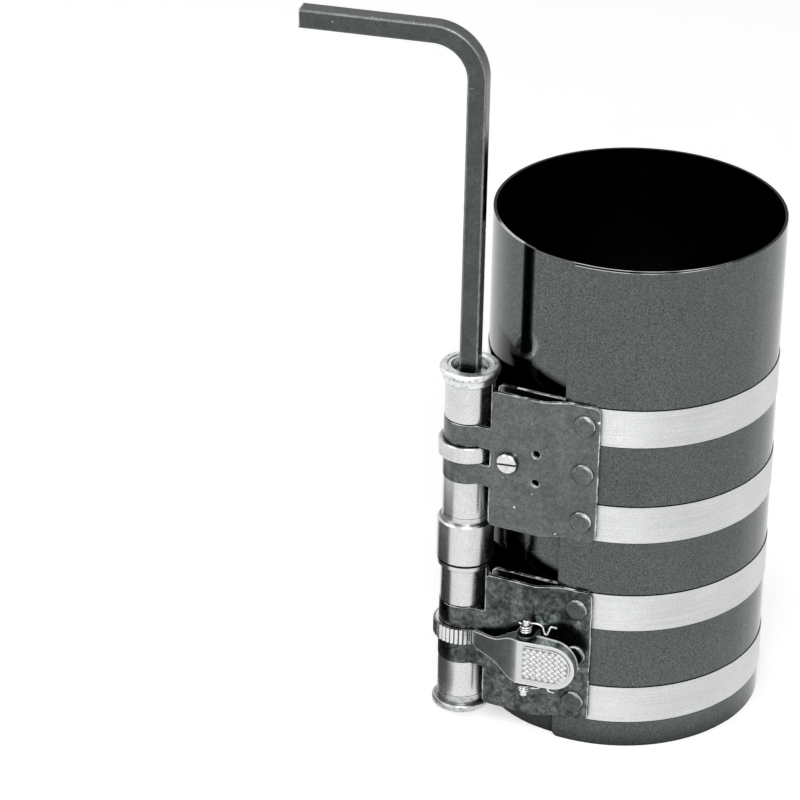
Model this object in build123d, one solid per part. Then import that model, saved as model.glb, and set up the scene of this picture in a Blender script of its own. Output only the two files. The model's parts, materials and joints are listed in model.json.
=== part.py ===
"""Piston ring compressor: a thin steel sheet wound nearly twice into a cylinder, drawn tight round a piston
by four flat bands that wind onto a ratchet spindle, with a pawl lever and a cranked square key.
Millimetres. The origin is the cylinder's axis at its lower rim; +Z is up, and the plates face -Y."""
from build123d import *
from math import acos, asin, atan2, cos, degrees, pi, radians, sin, sqrt
import os

os.makedirs("parts", exist_ok=True)

# Sheet, with angles counted round the cylinder from +X
bore_radius = 45.0
sheet_height = 168.0
sheet_thickness = 0.4
turn_gap = 0.1
sheet_corner = 2.0
sheet_lead = 3.6
inner_step_start = 248.0
inner_step_end = 268.0
outer_step_start = 280.0
outer_step_end = 350.0
inner_turn_end = 247.0

# Tension bands, a pair to each plate
band_width = 12.7
band_thickness = 0.2
band_gap = 0.05
band_lead = 1.0
band_inset = 6.7
upper_pair_z = 98.0
lower_pair_z = 32.4
coil_gap = 0.05

# Folded plates
plate_thickness = 1.1
plate_height = 47.2
plate_right_x = 8.4
front_leaf_depth = 3.25
joggle_low_x = -1.9
joggle_high_x = -9.3
joggle_bend = 2.0
hinge_bend = 2.5
leaf_setback = 0.35
leaf_left = 10.1
left_corner = 1.5
right_corner = 2.3
strap_corner = 0.7
strap_gap = 0.35

# Rivets through the plates
rivet_x = 3.5
rivet_shank_radius = 2.0
rivet_head_radius = 3.5
rivet_head_height = 1.05
rivet_hole_gap = 0.05
rivet_flare = 0.6
head_edge_shares = [(1.0, 0.45), (0.94, 0.82), (0.8, 1.0)]

# Clamp screw and nut of the upper plate
screw_from_edge = 6.1
screw_radius = 1.5
screw_head_radius = 3.3
screw_head_height = 1.7
screw_head_chamfer = 0.35
screw_tip = 0.4
screw_slot_width = 0.7
screw_slot_depth = 0.9
screw_slot_turn = 96.0
screw_hole_gap = 0.1
nut_width = 5.5
nut_height = 2.2

# Spindle
spindle_standoff = 13.45
shaft_radius = 6.64
running_gap = 0.06
seat_gap = 0.02
end_gap = 0.1
coil_thickness = 1.06
shoulder_radius = 7.7
flange_radius = 9.6
flange_height = 2.4
flange_round = 0.9
flange_rim_width = 1.4
flange_rim_depth = 0.35
collar_radius = 8.5
collar_height = 2.15
neck_height = 0.3
key_mouth_radius = 6.1
sleeve_radius = 9.1
sleeve_shoulder = 2.2
sleeve_chamfer = 0.5
washer_radius = 8.8
washer_height = 1.3
washer_rise = 0.4
spacer_radius = 9.4
spacer_height = 5.4
spacer_chamfer = 0.3
cap_radius = 9.25
cap_flange_height = 2.3
cap_round = 0.6
cap_height = 5.05
cap_rim_width = 1.3
cap_recess = 0.5
cap_floor = 1.3
tail_radius = 2.2
tail_head_radius = 2.9
tail_head_height = 0.45

# Ratchet wheel and pawl lever
wheel_height = 5.2
wheel_radius = 9.5
tooth_count = 40
tooth_depth = 0.5
tooth_fall = 0.85
pawl_angle = -38.0
pawl_length = 2.4
nose_clearance = 0.15
flank_clearance = 0.1
nose_half_height = 2.6
pin_x = -10.1
pin_standoff = 4.5
pin_radius = 1.2
pin_length = 27.8
pin_slot_width = 0.45
pin_slot_depth = 0.9
pin_slot_turn = 35.0
pin_chamfer = 0.25
lever_thickness = 1.0
lever_rise = 3.8
lever_bend_x = -11.5
lever_bend_radius = 1.2
pad_end_x = 7.3
pad_slope = 7.0
pad_half_height = 7.7
arm_half_height = 3.1
arm_waist_share = 0.48
arm_waist_half_height = 4.4
skirt_start = 5.5
skirt_rim_half = 2.6
skirt_floor = 2.1
skirt_end_depth = 2.8

# Lever bracket and its springs
bracket_thickness = 1.0
bracket_width = 6.2
bracket_bend = 0.9
bracket_hole_x = -10.8
bracket_hole_rise = 5.1
bracket_hole_radius = 1.35
bracket_rivet_radius = 1.3
bracket_rivet_head = 2.2
bracket_rivet_height = 0.6
bracket_rivet_tail = 0.3
ear_gap = 0.3
wire_radius = 0.38
wire_sides = 6
wire_gap = 0.1
spring_turns = 3
spring_leg = 4.5
spring_dip_x = 5.7
spring_dip = 5.0
spring_hook_x = 7.4
spring_hook_end = 9.7
spring_heel = 3.2
spring_heel_end = 4.4
spring_bend = 0.6

# Square key
key_size = 6.0
key_edge = 0.5
key_gap = 0.1
key_leg = 136.2
key_reach = 55.4
key_inner_bend = 11.0
key_angle = 190.8
socket_depth = 20.0

# Radii of the layers at the plates, from the bore outward
rear_leaf_radius = bore_radius + sheet_thickness + turn_gap
lap_radius = rear_leaf_radius + plate_thickness + band_gap
band_lap_radius = lap_radius + sheet_thickness + band_gap
front_leaf_radius = band_lap_radius + band_thickness + band_gap
band_turn_radius = rear_leaf_radius + sheet_thickness + band_gap

# Middle lines of the two leaves, and the spindle's axis beside them
rear_leaf_y = -(rear_leaf_radius + plate_thickness / 2)
front_lap_y = -(front_leaf_radius + plate_thickness / 2)
front_leaf_y = front_lap_y - front_leaf_depth
front_face_y = front_leaf_y - plate_thickness / 2
spindle_y = rear_leaf_y + leaf_setback
spindle_distance = bore_radius + spindle_standoff
spindle_x = -sqrt(spindle_distance**2 - spindle_y**2)
spindle_angle = degrees(atan2(spindle_y, spindle_x)) % 360
leaf_left_x = spindle_x + leaf_left

# Heights along the spindle
band_rise = plate_height / 2 - band_inset
band_heights = [
    pair + side * band_rise for pair in (upper_pair_z, lower_pair_z) for side in (1, -1)
]
coil_top_z = band_heights[0] + band_width / 2
coil_bottom_z = band_heights[3] - band_width / 2
strap_top = band_rise - band_width / 2 - strap_gap
strap_bottom = wheel_height / 2 + strap_gap
coil_radius = shaft_radius + seat_gap + coil_thickness
bush_bottom_z = coil_top_z + end_gap
lip_z = bush_bottom_z + neck_height + collar_height / 2
bush_top_z = bush_bottom_z + neck_height + collar_height + flange_height
cap_top_z = coil_bottom_z - end_gap
cap_bottom_z = cap_top_z - cap_height
socket_floor_z = lip_z - socket_depth

# Rivet, pin and pawl positions
rivet_angle = 270 + degrees(asin(rivet_x / front_leaf_radius))
screw_x = leaf_left_x + screw_from_edge
pin_y = front_face_y - pin_standoff
wheel_root_radius = wheel_radius - tooth_depth
ear_inner = pad_half_height + ear_gap
ear_outer = ear_inner + bracket_thickness


def polar(radius, angle):
    """Point at a radius and an angle round the cylinder's axis."""
    return Vector(radius * cos(radians(angle)), radius * sin(radians(angle)))


def forward(angle):
    """Direction of anticlockwise travel at an angle round the cylinder."""
    return Vector(-sin(radians(angle)), cos(radians(angle)))


def on_spindle(shape):
    """Move a shape made round the Z axis to the spindle's axis."""
    return Pos(spindle_x, spindle_y, 0) * shape


def turned(points):
    """Solid of revolution about the spindle's axis from (radius, height) points."""
    profile = make_face(Polyline(*[(r, 0, z) for r, z in points], close=True))
    return on_spindle(revolve(profile, Axis.Z))


def upright_prism(points, low_z, high_z):
    """Prism between two heights from (x, y) points."""
    return Pos(0, 0, low_z) * extrude(make_face(Polyline(*points, close=True)), high_z - low_z)


def radial_plane(radius, height):
    """Plane that faces outward on the cylinder at the rivets' angle."""
    return Plane(polar(radius, rivet_angle) + Vector(0, 0, height), z_dir=polar(1, rivet_angle))


def front_plane(x, z, y=None):
    """Plane that faces -Y at a point of the front leaf's face."""
    return Plane((x, front_face_y if y is None else y, z), z_dir=(0, -1, 0))


# Wound strips


def ramp(radius_start, radius_end, angle_start, angle_end):
    """Curve whose radius changes smoothly between two angles."""
    steps = 8
    points = []
    for step in range(steps + 1):
        share = step / steps
        radius = radius_start + (radius_end - radius_start) * (1 - cos(pi * share)) / 2
        points.append(polar(radius, angle_start + (angle_end - angle_start) * share))
    return Spline(*points, tangents=[forward(angle_start), forward(angle_end)])


def rail(stations, extra, lead, tail):
    """Edges of one face of a wound strip: straight lead, arcs and ramps between stations, straight tail."""
    first_angle, first_radius = stations[0]
    start = polar(first_radius + extra, first_angle)
    edges = [Line(start - forward(first_angle) * lead, start)] if lead else []
    for (angle_a, radius_a), (angle_b, radius_b) in zip(stations, stations[1:]):
        if radius_a != radius_b:
            edges.append(ramp(radius_a + extra, radius_b + extra, angle_a, angle_b))
            continue
        halves = 1 + int((angle_b - angle_a) // 180)
        sweep = (angle_b - angle_a) / halves
        for half in range(halves):
            edges.append(CenterArc((0, 0), radius_a + extra, angle_a + half * sweep, sweep))
    last_angle, last_radius = stations[-1]
    end = polar(last_radius + extra, last_angle)
    if tail:
        edges.append(Line(end, end + forward(last_angle) * tail))
    return edges


def wound_strip(stations, thickness, lead=0, tail=0):
    """Section of a strip wound round the cylinder, on (angle, inner radius) stations."""
    inner = rail(stations, 0, lead, tail)
    outer = rail(stations, thickness, lead, tail)
    ends = [Line(inner[0] @ 0, outer[0] @ 0), Line(inner[-1] @ 1, outer[-1] @ 1)]
    return make_face([*inner, *outer, *ends])


def wrap_sheet():
    """The sheet: its outer end lies on the rear leaves, its inner turn passes under them."""
    section = wound_strip(
        [
            (270, lap_radius),
            (outer_step_start, lap_radius),
            (outer_step_end, rear_leaf_radius),
            (360 + inner_step_start, rear_leaf_radius),
            (360 + inner_step_end, bore_radius),
            (720 + inner_turn_end, bore_radius),
        ],
        sheet_thickness,
        lead=sheet_lead,
    )
    sheet = extrude(section, sheet_height)
    corners = sheet.edges().filter_by(Axis.Y).filter_by(lambda e: abs(e.center().X + sheet_lead) < 0.01)
    sheet = fillet(corners, sheet_corner)
    for height in all_rivet_heights():
        sheet -= rivet_hole(height)
    return sheet


def band_run():
    """Angle at which a band leaves the cylinder, and the length of its straight run to the spindle."""
    middle_radius = band_turn_radius + band_thickness / 2
    last_turn_radius = coil_radius + coil_gap + band_thickness / 2
    lean = degrees(acos((middle_radius + last_turn_radius) / spindle_distance))
    run = sqrt(spindle_distance**2 - (middle_radius + last_turn_radius) ** 2)
    return spindle_angle - lean, run


def tension_band(height):
    """One band, from under the front leaf round the cylinder and straight to where its coil takes it up."""
    leave_angle, run = band_run()
    section = wound_strip(
        [
            (270, band_lap_radius),
            (outer_step_start, band_lap_radius),
            (outer_step_end, band_turn_radius),
            (360 + leave_angle, band_turn_radius),
        ],
        band_thickness,
        lead=band_lead,
        tail=run,
    )
    band = Pos(0, 0, height - band_width / 2) * extrude(section, band_width)
    return band - rivet_hole(height)


def band_coil(height):
    """The band's turns on the spindle, as one ring."""
    low_z = height - band_width / 2
    return plain_ring(shaft_radius + seat_gap, coil_radius, low_z, low_z + band_width)


# Plates and their fastenings


def all_rivet_heights():
    """Heights of the rivets of both plates."""
    return [pair + side * band_rise for pair in (upper_pair_z, lower_pair_z) for side in (1, 0, -1)]


def rivet_hole(height):
    """Radial hole through every layer at the rivets' angle."""
    radius = rivet_shank_radius + rivet_hole_gap
    plane = radial_plane(rear_leaf_radius, height)
    return plane * Pos(0, 0, -turn_gap / 2) * extrude(Circle(radius), plate_height / 4)


def plate_path():
    """Middle line of a plate's strip: front leaf, knuckle round the spindle, rear leaf."""
    knuckle_radius = shaft_radius + running_gap + plate_thickness / 2
    reach = knuckle_radius + hinge_bend
    centre = Vector(spindle_x, spindle_y)
    front_centre_y = front_leaf_y - hinge_bend
    rear_centre_y = rear_leaf_y + hinge_bend
    front_centre = Vector(spindle_x + sqrt(reach**2 - (front_centre_y - spindle_y) ** 2), front_centre_y)
    rear_centre = Vector(spindle_x + sqrt(reach**2 - (rear_centre_y - spindle_y) ** 2), rear_centre_y)
    front_turn = degrees(atan2(front_centre.Y - centre.Y, front_centre.X - centre.X))
    rear_turn = degrees(atan2(rear_centre.Y - centre.Y, rear_centre.X - centre.X))
    front_edge = 270 + degrees(asin(plate_right_x / -front_lap_y))
    rear_edge = 270 + degrees(asin(plate_right_x / -rear_leaf_y))
    return [
        CenterArc((0, 0), -front_lap_y, front_edge, 270 - front_edge),
        FilletPolyline(
            (0, front_lap_y),
            (joggle_low_x, front_lap_y),
            (joggle_high_x, front_leaf_y),
            (front_centre.X, front_leaf_y),
            radius=joggle_bend,
        ),
        CenterArc(front_centre, hinge_bend, 90, 90 + front_turn),
        CenterArc(centre, knuckle_radius, front_turn, rear_turn - front_turn - 360),
        CenterArc(rear_centre, hinge_bend, 180 + rear_turn, 90 - rear_turn),
        Line((rear_centre.X, rear_leaf_y), (0, rear_leaf_y)),
        CenterArc((0, 0), -rear_leaf_y, 270, rear_edge - 270),
    ]


def strip_section(path, thickness):
    """Section of a bent strip whose middle follows the path."""
    wire = Wire([edge for piece in path for edge in piece.edges()])
    sides = (Side.LEFT, Side.RIGHT)
    rails = [wire.offset_2d(thickness / 2, side=side, closed=False) for side in sides]
    ends = []
    for position in (0, 1):
        middle = wire @ position
        corners = [
            min((rail_wire @ 0, rail_wire @ 1), key=lambda point: (point - middle).length)
            for rail_wire in rails
        ]
        ends.append(Line(*corners))
    edges = [edge for rail_wire in rails for edge in rail_wire.edges()]
    return make_face([*edges, *[end.edge() for end in ends]])


def plate_outline():
    """Outline of a plate seen from the front, with its two knuckle straps, round its own middle height."""
    body = Pos((leaf_left_x + plate_right_x) / 2, 0) * Rectangle(plate_right_x - leaf_left_x, plate_height)
    body = fillet(body.vertices().group_by(Axis.X)[-1], right_corner)
    body = fillet(body.vertices().filter_by(lambda v: abs(v.X - leaf_left_x) < 0.01), left_corner)
    strap_height = strap_top - strap_bottom
    strap_reach = leaf_left + shaft_radius + plate_thickness + 2 * hinge_bend
    strap = Rectangle(strap_reach + right_corner, strap_height)
    for side in (1, -1):
        body += Pos(leaf_left_x - strap_reach / 2, side * (strap_top + strap_bottom) / 2) * strap
    left_side = body.vertices().filter_by(lambda v: abs(v.X - leaf_left_x) < 0.01)
    return fillet(left_side.filter_by(lambda v: abs(v.Y) < strap_top + 0.01), strap_corner)


def folded_plate(middle_z):
    """One plate: the folded strip cut to its outline, with its holes."""
    section = strip_section(plate_path(), plate_thickness)
    strip = Pos(0, 0, -plate_height / 2) * extrude(section, plate_height)
    plate = strip & extrude(Plane.XZ * plate_outline(), -2 * front_leaf_y, both=True)
    plate = Pos(0, 0, middle_z) * plate
    for side in (1, 0, -1):
        height = middle_z + side * band_rise
        plate -= rivet_hole(height)
        plate -= rivet_tail(height, rivet_hole_gap)
    plate -= front_drill(screw_x, middle_z, screw_radius + screw_hole_gap, through_both=True)
    for side in (1, -1):
        plate -= front_drill(bracket_hole_x, middle_z + side * bracket_hole_rise, bracket_hole_radius)
    return plate


def front_drill(x, z, radius, through_both=False):
    """Hole along Y through the front leaf, or through both leaves."""
    depth = (rear_leaf_y - front_face_y + plate_thickness) if through_both else 2 * plate_thickness
    return front_plane(x, z) * Pos(0, 0, -depth / 2) * Cylinder(radius, depth + 4 * bracket_thickness)


def rivet_tail(height, gap=0.0):
    """Flared inner end of a rivet, countersunk in the rear leaf."""
    plane = radial_plane(rear_leaf_radius, height)
    cone = Cone(rivet_shank_radius + rivet_flare + gap, rivet_shank_radius + gap, rivet_flare)
    return plane * Pos(0, 0, rivet_flare / 2) * cone


def button(radius, height):
    """Flat button head with a rounded edge, on the XY plane."""
    edge = [(share * radius, 0, rise * height) for share, rise in head_edge_shares]
    return revolve(make_face(Polyline((0, 0, 0), (radius, 0, 0), *edge, (0, 0, height), close=True)), Axis.Z)


def plate_rivets(middle_z):
    """The three rivets of a plate, each holding front leaf, band, sheet and rear leaf together."""
    rivets = []
    outer_radius = front_leaf_radius + plate_thickness
    for side in (1, 0, -1):
        height = middle_z + side * band_rise
        plane = radial_plane(rear_leaf_radius, height)
        shank = plane * extrude(Circle(rivet_shank_radius), outer_radius - rear_leaf_radius)
        head = radial_plane(outer_radius, height) * button(rivet_head_radius, rivet_head_height)
        rivets.append(shank + head + rivet_tail(height))
    return rivets


def clamp_screw():
    """Slotted screw that draws the two leaves of the upper plate together."""
    grip = rear_leaf_y + plate_thickness / 2 - front_face_y
    plane = front_plane(screw_x, upper_pair_z)
    head = Cylinder(screw_head_radius, screw_head_height, align=(Align.CENTER, Align.CENTER, Align.MIN))
    head = chamfer(head.edges().sort_by(Axis.Z)[-1], screw_head_chamfer)
    slot = Pos(0, 0, screw_head_height - screw_slot_depth / 2) * Rot(0, 0, screw_slot_turn) * Box(
        3 * screw_head_radius, screw_slot_width, screw_slot_depth
    )
    shank_length = grip + nut_height + screw_tip
    shank = Pos(0, 0, -shank_length / 2) * Cylinder(screw_radius, shank_length)
    return plane * (head - slot + shank)


def clamp_nut():
    """Hexagon nut behind the rear leaf of the upper plate."""
    seat = rear_leaf_y + plate_thickness / 2
    hexagon = RegularPolygon(nut_width / 2, 6, major_radius=False) - Circle(screw_radius + seat_gap)
    return front_plane(screw_x, upper_pair_z, seat) * Pos(0, 0, -nut_height) * extrude(hexagon, nut_height)


# Spindle pieces


def spindle_shaft():
    """Round shaft from the end cap to the flanged bush, with the key's square socket in its top."""
    bottom = cap_bottom_z + cap_recess + cap_floor
    tail_bottom = cap_bottom_z + cap_recess
    shaft = turned([(0, bottom), (shaft_radius, bottom), (shaft_radius, lip_z), (0, lip_z)])
    tail = turned(
        [
            (0, tail_bottom - tail_head_height),
            (tail_head_radius - tail_head_height, tail_bottom - tail_head_height),
            (tail_head_radius, tail_bottom),
            (tail_radius, tail_bottom),
            (tail_radius, bottom),
            (0, bottom),
        ]
    )
    socket = Rot(0, 0, key_angle) * Box(
        key_size + 2 * key_gap,
        key_size + 2 * key_gap,
        socket_depth,
        align=(Align.CENTER, Align.CENTER, Align.MIN),
    )
    return shaft + tail - on_spindle(Pos(0, 0, socket_floor_z) * socket)


def top_flange_bush():
    """Flanged bush on the shaft's top end, with a round mouth over the square socket."""
    seat = shaft_radius + seat_gap
    collar_z = bush_bottom_z + neck_height
    flange_z = collar_z + collar_height
    rim_inner = flange_radius - flange_round - flange_rim_width
    return turned(
        [
            (seat, bush_bottom_z),
            (shoulder_radius, bush_bottom_z),
            (shoulder_radius, collar_z),
            (collar_radius, collar_z),
            (collar_radius, flange_z),
            *rounded_rim(flange_radius, flange_z, bush_top_z, flange_round),
            (rim_inner, bush_top_z),
            (rim_inner - flange_rim_depth, bush_top_z - flange_rim_depth),
            (key_mouth_radius, bush_top_z - flange_rim_depth),
            (key_mouth_radius, lip_z),
            (seat, lip_z),
        ]
    )


def rounded_rim(radius, low_z, high_z, corner):
    """Outer (radius, height) points of a rim whose two corners are rounded."""
    turns = [(0.0, 1.0), (0.13, 0.5), (0.5, 0.13), (1.0, 0.0)]
    upward = [(radius - corner * back, low_z + corner * rise) for rise, back in turns]
    downward = [(radius - corner * back, high_z - corner * rise) for rise, back in reversed(turns)]
    return upward + downward


def plain_ring(inner, outer, low_z, high_z, chamfer_size=0.0):
    """Ring on the spindle with both outer edges chamfered."""
    ring = [
        (inner, low_z),
        (outer - chamfer_size, low_z),
        (outer, low_z + chamfer_size),
        (outer, high_z - chamfer_size),
        (outer - chamfer_size, high_z),
        (inner, high_z),
    ]
    return turned(ring if chamfer_size else [ring[0], ring[1], ring[4], ring[5]])


def centre_sleeve():
    """Sleeve between the two plates, with a shoulder at each end that reaches its coil."""
    seat = shaft_radius + seat_gap
    low_z = band_heights[2] + band_width / 2 + end_gap
    high_z = band_heights[1] - band_width / 2 - end_gap
    body_low = low_z + sleeve_shoulder
    body_high = high_z - sleeve_shoulder
    return turned(
        [
            (seat, low_z),
            (shoulder_radius, low_z),
            (shoulder_radius, body_low),
            (sleeve_radius - sleeve_chamfer, body_low),
            (sleeve_radius, body_low + sleeve_chamfer),
            (sleeve_radius, body_high - sleeve_chamfer),
            (sleeve_radius - sleeve_chamfer, body_high),
            (shoulder_radius, body_high),
            (shoulder_radius, high_z),
            (seat, high_z),
        ]
    )


def sleeve_washer():
    """Thin ring on the sleeve's lower shoulder."""
    low_z = band_heights[2] + band_width / 2 + end_gap + washer_rise
    return plain_ring(shoulder_radius + seat_gap, washer_radius, low_z, low_z + washer_height)


def spacer_ring():
    """Ring between the upper plate's straps."""
    low_z = upper_pair_z - spacer_height / 2
    inner = shaft_radius + seat_gap
    return plain_ring(inner, spacer_radius, low_z, low_z + spacer_height, spacer_chamfer)


def bottom_end_cap():
    """Cap on the shaft's lower end, with a raised rim round its end face."""
    seat = shaft_radius + seat_gap
    recess_radius = cap_radius - cap_rim_width
    floor_z = cap_bottom_z + cap_recess
    flange_z = cap_bottom_z + cap_flange_height
    return turned(
        [
            (tail_radius + seat_gap, floor_z),
            (recess_radius, floor_z),
            (recess_radius, cap_bottom_z),
            *rounded_rim(cap_radius, cap_bottom_z, flange_z, cap_round),
            (shoulder_radius, flange_z),
            (shoulder_radius, cap_top_z),
            (seat, cap_top_z),
            (seat, floor_z + cap_floor),
            (tail_radius + seat_gap, floor_z + cap_floor),
        ]
    )


def ratchet_wheel():
    """Wheel with saw teeth: each long flank falls anticlockwise, square to the line from the nose to the
    pin, so the pawl stops the spindle unwinding and is lifted by the short flanks when it winds."""
    pitch = 360 / tooth_count
    points = []
    for tooth in range(tooth_count):
        root_angle = pawl_angle + tooth * pitch
        points.append(polar(wheel_root_radius, root_angle))
        points.append(polar(wheel_radius, root_angle + (1 - tooth_fall) * pitch))
    toothed = make_face(Polyline(*points, close=True)) - Circle(shaft_radius + seat_gap)
    return on_spindle(Pos(0, 0, lower_pair_z - wheel_height / 2) * extrude(toothed, wheel_height))


# Lever and bracket


def pawl_directions():
    """Unit vectors outward along the pawl's nose, and across it anticlockwise."""
    return polar(1, pawl_angle), forward(pawl_angle)


def lever_lines():
    """Corners of the pressed strip's middle line seen from above: nose, arm end, bend, pad end."""
    outward, across = pawl_directions()
    foot = Vector(spindle_x, spindle_y) - across * (flank_clearance + lever_thickness / 2)
    nose = foot + outward * (wheel_root_radius + nose_clearance)
    arm_end = nose + outward * pawl_length
    bend = Vector(lever_bend_x, pin_y - lever_rise + lever_thickness / 2)
    pad_length = pad_end_x - lever_bend_x
    pad_end = bend + Vector(pad_length, pad_length * sin(radians(pad_slope)))
    return nose, arm_end, bend, pad_end


def lever_outline(shrink=0.0):
    """Lever seen from the front: nose, narrow arm, waist, oval pad, round its middle height."""
    nose, arm_end, bend, pad_end = lever_lines()
    waist_x = arm_end.X + (bend.X - arm_end.X) * arm_waist_share
    half = pad_half_height - shrink
    arm_half = arm_half_height - shrink
    flat_end = pad_end.X - pad_half_height
    upper = [
        Line((nose.X - lever_thickness, 0), (nose.X - lever_thickness, nose_half_height)),
        Line((nose.X - lever_thickness, nose_half_height), (nose.X + lever_thickness, nose_half_height)),
        Line((nose.X + lever_thickness, nose_half_height), (arm_end.X, arm_half)),
        Spline(
            (arm_end.X, arm_half),
            (waist_x, arm_waist_half_height - shrink),
            (bend.X, half),
            tangents=[(1, 0.1), (1, 0)],
        ),
        Line((bend.X, half), (flat_end, half)),
        CenterArc((flat_end, 0), half, 90, -90),
    ]
    lower = [mirror(edge, Plane.XZ) for edge in upper]
    return make_face([*upper, *lower])


def lever_block(points):
    """Prism over the lever's whole height from (x, y) points."""
    return upright_prism(points, -2 * pad_half_height, 2 * pad_half_height)


def release_lever():
    """Pressed lever: pawl nose bent inward, arm, pad, and a skirt that carries the pin."""
    nose, arm_end, bend, pad_end = lever_lines()
    middle = FilletPolyline(nose, arm_end, bend, pad_end, radius=lever_bend_radius)
    web = Pos(0, 0, -2 * pad_half_height) * extrude(
        strip_section([middle], lever_thickness), 4 * pad_half_height
    )
    skirt_from = arm_end + (bend - arm_end).normalized() * skirt_start
    rim_y = front_face_y - skirt_floor
    rim_end = pad_end + Vector(0, skirt_end_depth)
    rim = [rim_end, Vector(pin_x + skirt_rim_half, rim_y), Vector(pin_x - skirt_rim_half, rim_y)]
    skirt = lever_block([skirt_from, bend, pad_end, *rim])
    outer = extrude(Plane.XZ * lever_outline(), -2 * front_leaf_y, both=True)
    inner = extrude(Plane.XZ * lever_outline(lever_thickness), -2 * front_leaf_y, both=True)
    lever = outer & (web + skirt)
    lever -= inner & (skirt - web)
    lever -= pawl_bevel()
    lever -= Pos(pin_x, pin_y, 0) * Cylinder(pin_radius + running_gap, 4 * pad_half_height)
    return Pos(0, 0, lower_pair_z) * lever


def pawl_bevel():
    """Cutter that bevels the nose along the long flank of the tooth that it holds."""
    outward, across = pawl_directions()
    run = tooth_fall * 2 * pi * wheel_radius / tooth_count
    bevel = (across * run - outward * tooth_depth).normalized()
    heel = Vector(spindle_x, spindle_y) + outward * (wheel_root_radius + nose_clearance)
    reach = 3 * lever_thickness
    corners = [heel - bevel * reach, heel + bevel * reach]
    return lever_block([*corners, corners[1] - outward * reach, corners[0] - outward * reach])


def lever_bracket():
    """U bracket on the lower plate whose two round ears hold the lever's pin."""
    base_y = front_face_y - bracket_thickness
    round_end = bracket_width / 2
    ear = Pos(pin_x, pin_y) * Circle(round_end)
    ear += Pos(pin_x, (pin_y + front_face_y) / 2) * Rectangle(bracket_width, front_face_y - pin_y)
    block = Pos(0, 0, -ear_outer) * extrude(ear, 2 * ear_outer)
    room = Pos(pin_x, base_y - pin_standoff, 0) * Box(2 * bracket_width, 2 * pin_standoff, 2 * ear_inner)
    bracket = block - room - Pos(pin_x, pin_y, 0) * Cylinder(pin_radius, 3 * ear_outer)
    bends = bracket.edges().filter_by(Axis.X).filter_by(lambda e: abs(e.center().Y - front_face_y) < 0.01)
    bracket = Pos(0, 0, lower_pair_z) * fillet(bends, bracket_bend)
    for side in (1, -1):
        height = lower_pair_z + side * bracket_hole_rise
        bracket -= front_drill(bracket_hole_x, height, bracket_hole_radius)
    return bracket


def bracket_rivets():
    """Two small rivets through the bracket and the front leaf, their tails left just proud."""
    rivets = []
    for side in (1, -1):
        height = lower_pair_z + side * bracket_hole_rise
        head = button(bracket_rivet_head, bracket_rivet_height)
        length = bracket_thickness + plate_thickness + bracket_rivet_tail
        shank = Pos(0, 0, -length / 2) * Cylinder(bracket_rivet_radius, length)
        plane = front_plane(bracket_hole_x, height, front_face_y - bracket_thickness)
        rivets.append(plane * (head + shank))
    return rivets


def lever_pivot_pin():
    """Pin through ears and skirt, slotted across both ends."""
    pin = chamfer(Cylinder(pin_radius, pin_length).edges().filter_by(GeomType.CIRCLE), pin_chamfer)
    for side in (1, -1):
        slot = Box(3 * pin_radius, pin_slot_width, pin_slot_depth)
        pin -= Pos(0, 0, side * (pin_length - pin_slot_depth) / 2) * Rot(0, 0, pin_slot_turn) * slot
    return Pos(pin_x, pin_y, lower_pair_z) * pin


def bent_wire(points):
    """Round wire along straight runs with bends between them."""
    path = FilletPolyline(*points, radius=spring_bend)
    return sweep(Plane(path @ 0, z_dir=path % 0) * RegularPolygon(wire_radius, wire_sides), path)


def lever_springs():
    """Two torsion springs on the pin, one outside each ear: a heel on the plate, and a long leg whose end
    dips behind the skirt's rim and turns out again."""
    coil_radius = pin_radius + wire_gap + wire_radius
    pitch = 2 * wire_radius + wire_gap / 2
    low_z = ear_outer + wire_radius + wire_gap
    high_z = low_z + spring_turns * pitch
    coil_path = Rot(0, 0, 90) * Helix(pitch, spring_turns * pitch, coil_radius)
    wire = Plane(coil_path @ 0, z_dir=coil_path % 0) * RegularPolygon(wire_radius, wire_sides)
    rim_y = pin_standoff - skirt_floor + wire_radius + wire_gap
    plate_y = pin_standoff - wire_radius - wire_gap
    leg = [
        (0, coil_radius, high_z),
        (spring_leg, rim_y, high_z),
        (spring_dip_x, rim_y, high_z - spring_dip),
        (spring_hook_x, rim_y, high_z),
        (spring_hook_end, rim_y, high_z),
    ]
    heel = [(0, coil_radius, low_z), (-spring_heel, plate_y, low_z), (-spring_heel_end, plate_y, low_z)]
    spring = Pos(0, 0, low_z) * sweep(wire, coil_path) + bent_wire(leg) + bent_wire(heel)
    upper = Pos(pin_x, pin_y, lower_pair_z) * spring
    return [upper, mirror(upper, Plane.XY.offset(lower_pair_z))]


def square_key():
    """Cranked square bar that drops into the spindle's socket."""
    bend = key_inner_bend + key_size / 2
    arm_z = socket_floor_z + key_leg - key_size / 2
    path = FilletPolyline(
        (0, 0, socket_floor_z), (0, 0, arm_z), (key_reach, 0, arm_z), radius=bend
    )
    section = RectangleRounded(key_size, key_size, key_edge)
    key = sweep(Pos(0, 0, socket_floor_z) * section, path)
    return on_spindle(Rot(0, 0, key_angle) * key)


def write(name, shapes):
    """Write one node: a single solid, or several separate solids."""
    solids = [solid for shape in shapes for solid in shape.solids()]
    export_step(solids[0] if len(solids) == 1 else Compound(solids), f"parts/{name}.step")


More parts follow.
